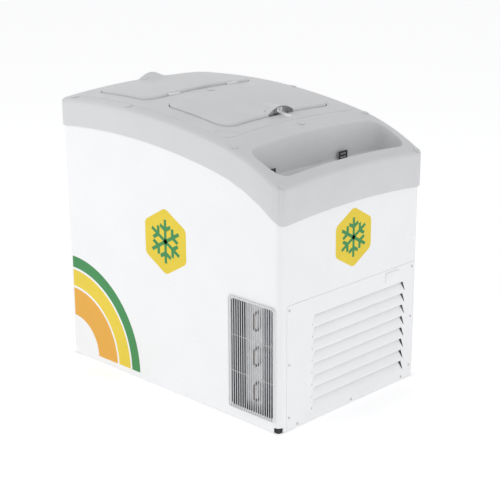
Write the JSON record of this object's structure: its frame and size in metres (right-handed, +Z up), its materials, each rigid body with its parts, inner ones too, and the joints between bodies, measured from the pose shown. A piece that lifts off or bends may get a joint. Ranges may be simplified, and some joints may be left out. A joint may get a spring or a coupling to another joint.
{
  "type": "ice merchandiser freezer",
  "caption": "Chest freezer with an arched, crowned plastic top, back-to-back insulated lids, a scoop tray at the machinery end, a louvred end panel and a wire guard over the condenser bay.",
  "frame": {"origin": "middle of the footprint on the floor, under the feet", "axes": "+X along the cabinet to the machinery end with the scoop tray and louvred panel, -Y the long side with the wire guard, +Z up"},
  "size_m": [0.992, 0.666, 0.9432],
  "materials": {
    "top_plastic": "satin",
    "liner_plastic": "satin",
    "white_steel": "satin",
    "grey_wire": "satin",
    "galvanised": "satin",
    "black_steel": "satin",
    "seal_rubber": "matte",
    "foam": "matte",
    "tube_aluminium": "satin",
    "tube_copper": "satin",
    "black_plastic": "matte",
    "mount_rubber": "matte"
  },
  "bodies": {
    "cabinet": {"base_pan": "galvanised", "bay_bulkhead": "galvanised", "compressor": "black_steel", "compressor_mounts": "mount_rubber", "compressor_relay": "black_plastic", "condenser_fins": "tube_aluminium", "condenser_tubes": "tube_copper", "corner_feet": "black_plastic", "discharge_pipe": "tube_copper", "drain_outlet": "liner_plastic", "end_frame": "galvanised", "end_panel": "white_steel", "evaporator_coil": "tube_aluminium", "fan_bracket": "galvanised", "fan_motor": "black_steel", "fan_shroud": "galvanised", "front_hinge_fixed_leaves": "white_steel", "front_hinge_pins": "galvanised", "front_lock_angle": "black_steel", "insulation": "foam", "nose_moulding": "top_plastic", "outer_cabinet": "white_steel", "panel_screws": "galvanised", "rear_hinge_fixed_leaves": "white_steel", "rear_hinge_pins": "galvanised", "rear_lock_angle": "black_steel", "screw_caps": "top_plastic", "suction_pipe": "tube_copper", "tank_ceiling": "galvanised", "tank_liner": "galvanised", "thermostat": "black_plastic", "thermostat_cover": "white_steel", "thermostat_knob": "black_plastic", "top_moulding": "top_plastic", "tray_clips": "black_steel", "wire_guard": "grey_wire"},
    "rear_lid": {"rear_lid_cover": "top_plastic", "rear_lid_pan": "liner_plastic", "rear_lid_foam": "foam", "rear_lid_gasket": "seal_rubber", "rear_hinge_lid_leaves": "white_steel", "rear_lock_plate": "black_steel"},
    "front_lid": {"front_lid_cover": "top_plastic", "front_lid_pan": "liner_plastic", "front_lid_foam": "foam", "front_lid_gasket": "seal_rubber", "front_hinge_lid_leaves": "white_steel", "front_lock_plate": "black_steel"},
    "fan": {"fan_blade": "black_plastic"},
    "bung": {"drain_bung": "top_plastic"}
  },
  "joints": [
    {"name": "rear_lid_hinge", "type": "hinge", "parent": "cabinet", "child": "rear_lid", "pos_m": [-0.158, 0, 0.91962], "axis": [0, 1, 0], "range_deg": [0, 80]},
    {"name": "front_lid_hinge", "type": "hinge", "parent": "cabinet", "child": "front_lid", "pos_m": [-0.088, 0, 0.91568], "axis": [0, -1, 0], "range_deg": [0, 80]},
    {"name": "condenser_fan", "type": "hinge", "parent": "cabinet", "child": "fan", "pos_m": [0.33, -0.176, 0.214], "axis": [1, 0, 0], "continuous": true},
    {"name": "drain_bung_lift", "type": "slide", "parent": "cabinet", "child": "bung", "axis": [0, 0, 1], "range_m": [0, 0.06]}
  ]
}
